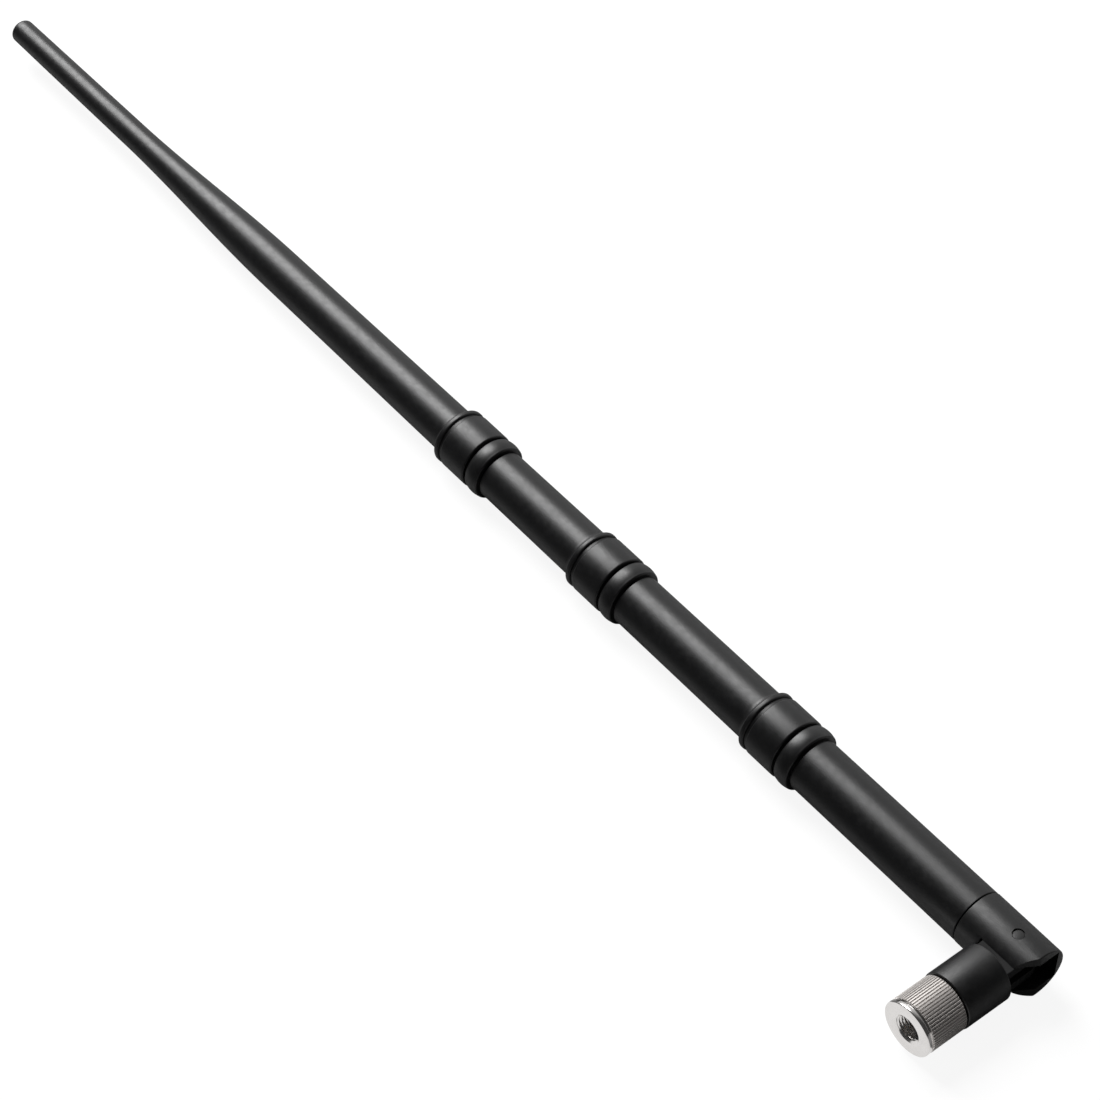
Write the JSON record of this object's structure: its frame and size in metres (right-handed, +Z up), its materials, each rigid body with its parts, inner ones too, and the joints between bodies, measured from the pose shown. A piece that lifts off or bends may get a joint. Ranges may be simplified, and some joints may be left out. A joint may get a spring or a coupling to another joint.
{
  "type": "folding wifi whip antenna",
  "caption": "Long tapered black whip mast with collared joints, folding on a swivelling elbow stub that ends in a knurled coaxial screw coupling.",
  "frame": {"origin": "middle of the coupling's threaded wall, on the coupling's axis", "axes": "+Z up as the antenna lies, -X along the mast to its tip, -Y out of the coupling's mouth"},
  "size_m": [0.3631, 0.037, 0.015],
  "materials": {
    "black_plastic": "fine spark-eroded texture, satin",
    "knuckle_plastic": "fine spark-eroded texture",
    "pin_plastic": "smooth moulded",
    "nickel_plate": "nickel plated, turned and knurled",
    "gold_plate": "thin gold plating",
    "spring_bronze": "rolled wire",
    "brass_tube": "drawn tube",
    "copper_wire": "enamelled drawn wire",
    "white_insulator": "turned white fluoropolymer",
    "cable_jacket": "extruded jacket",
    "foam_spacer": "cut foam"
  },
  "bodies": {
    "plug": {"plug_body": "gold_plate", "insulating_core": "white_insulator", "centre_contact": "gold_plate", "crimp_ferrule": "gold_plate", "nut_clip": "spring_bronze", "stub_clip": "spring_bronze"},
    "nut": {"coupling_nut": "nickel_plate"},
    "stub": {"elbow_stub": "knuckle_plastic", "feed_cable": "cable_jacket"},
    "mast": {"knuckle_yoke": "knuckle_plastic", "hinge_pin_top": "pin_plastic", "hinge_pin_bottom": "pin_plastic", "radome_lower": "black_plastic", "radome_middle": "black_plastic", "radome_upper": "black_plastic", "radome_whip": "black_plastic", "ground_sleeve": "brass_tube", "ground_bead": "white_insulator", "radiator_wire": "copper_wire", "spacer_lower": "foam_spacer", "spacer_middle": "foam_spacer", "spacer_upper": "foam_spacer", "spacer_whip": "foam_spacer"}
  },
  "joints": [
    {"name": "nut_spin", "type": "hinge", "parent": "plug", "child": "nut", "pos_m": [0, 0, 0], "axis": [0, 1, 0], "continuous": true},
    {"name": "stub_swivel", "type": "hinge", "parent": "plug", "child": "stub", "pos_m": [0, 0.0088, 0], "axis": [0, 1, 0], "range_deg": [-180, 180]},
    {"name": "mast_fold", "type": "hinge", "parent": "stub", "child": "mast", "pos_m": [0, 0.02765, 0], "axis": [0, 0, -1], "range_deg": [0, 90], "deforming": ["feed_cable"]}
  ]
}
